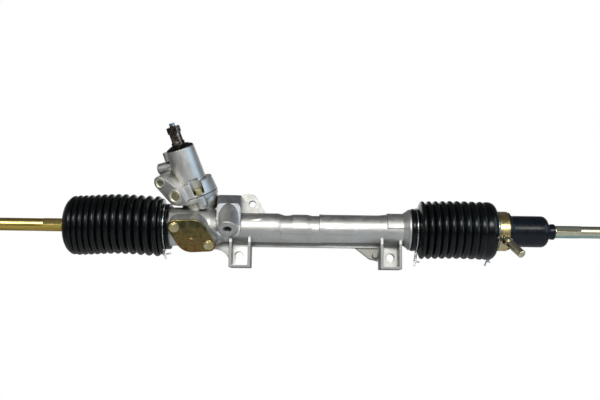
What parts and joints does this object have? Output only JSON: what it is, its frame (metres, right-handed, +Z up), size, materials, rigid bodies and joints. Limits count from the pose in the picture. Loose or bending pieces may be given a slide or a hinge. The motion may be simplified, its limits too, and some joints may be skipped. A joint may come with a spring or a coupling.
{
  "type": "steering rack",
  "caption": "Hydraulic power steering rack with cast housing, rotary valve tower, rubber bellows, tie rods, and a stud and threaded boss for an outside ram.",
  "frame": {"origin": "midway between the two foot bolt holes, on the mounting face", "axes": "+X along the rack towards the ram collar, +Y out of the mounting face, +Z up"},
  "size_m": [1.032, 0.0882, 0.1765],
  "materials": {
    "cast_aluminium": "cast, bare",
    "gold_zinc": "yellow zinc plate",
    "gold_zinc_rod": "strong yellow zinc plate",
    "pale_zinc_rod": "pale zinc plate",
    "ground_steel": "ground",
    "dark_steel": "oiled, dark",
    "bronze": "machined",
    "bellows_rubber": "satin",
    "boot_rubber": "smooth",
    "plastic": "moulded",
    "wire": "plated soft wire"
  },
  "bodies": {
    "housing": {"rack_housing": "cast_aluminium", "valve_housing": "cast_aluminium", "valve_housing_gasket": "boot_rubber", "valve_housing_bolts": "gold_zinc", "port_seats": "ground_steel", "pinion_lower_bush": "bronze", "bearing_outer_ring": "ground_steel", "bearing_circlip": "dark_steel", "input_bush": "bronze", "oil_seal": "boot_rubber", "dust_seal": "boot_rubber", "guide_yoke": "dark_steel", "guide_seal_ring": "boot_rubber", "guide_spring": "dark_steel", "guide_cover": "gold_zinc", "guide_cover_bolts": "gold_zinc", "rack_bush": "bronze", "left_bellows": "bellows_rubber", "right_bellows": "bellows_rubber", "left_bellows_wire": "wire", "right_bellows_inner_wire": "wire"},
    "rack": {"rack_bar": "ground_steel", "left_ball_housing": "ground_steel", "left_lock_washer": "ground_steel", "right_ball_housing": "ground_steel", "right_lock_washer": "ground_steel", "ram_collar": "gold_zinc", "ram_stud": "gold_zinc", "right_joint_boot": "boot_rubber", "right_bellows_outer_wire": "wire"},
    "pinion": {"pinion": "ground_steel", "bearing_inner_ring": "ground_steel", "bearing_balls": "ground_steel", "valve_sleeve": "ground_steel", "valve_rings": "plastic", "torsion_bar": "ground_steel"},
    "input_shaft": {"input_shaft": "dark_steel"},
    "left_seat": {"left_ball_seat": "plastic"},
    "left_rod": {"left_tie_rod": "gold_zinc_rod", "left_lock_nut": "gold_zinc_rod", "left_bellows_clip": "wire"},
    "right_seat": {"right_ball_seat": "plastic"},
    "right_rod": {"right_tie_rod": "pale_zinc_rod", "right_lock_nut": "pale_zinc_rod"}
  },
  "joints": [
    {"name": "rack_slide", "type": "slide", "parent": "housing", "child": "rack", "axis": [1, 0, 0], "range_m": [-0.065, 0.065], "deforming": ["left_bellows", "right_bellows"]},
    {"name": "pinion_turn", "type": "hinge", "parent": "housing", "child": "pinion", "pos_m": [-0.138, -0.00527, 0.04036], "axis": [-0.309, -0.3253, 0.8937], "range_deg": [-506.5, 506.5]},
    {"name": "valve_twist", "type": "hinge", "parent": "pinion", "child": "input_shaft", "pos_m": [-0.15654, -0.02479, 0.09398], "axis": [-0.309, -0.3253, 0.8937], "range_deg": [-4, 4], "stiffness_Nm_per_rad": 60},
    {"name": "left_rod_fore_aft", "type": "hinge", "parent": "rack", "child": "left_seat", "pos_m": [-0.28, -0.02, 0.035], "axis": [0, 0, 1], "range_deg": [-12, 12]},
    {"name": "left_rod_up_down", "type": "hinge", "parent": "left_seat", "child": "left_rod", "pos_m": [-0.28, -0.02, 0.035], "axis": [0, 1, 0], "range_deg": [-18, 18]},
    {"name": "right_rod_fore_aft", "type": "hinge", "parent": "rack", "child": "right_seat", "pos_m": [0.272, -0.02, 0.035], "axis": [0, 0, 1], "range_deg": [-12, 12]},
    {"name": "right_rod_up_down", "type": "hinge", "parent": "right_seat", "child": "right_rod", "pos_m": [0.272, -0.02, 0.035], "axis": [0, 1, 0], "range_deg": [-18, 18], "deforming": ["right_joint_boot"]}
  ],
  "couplings": [
    {"joint": "pinion_turn", "follows": "rack_slide", "rad_per_m": 135.87}
  ]
}
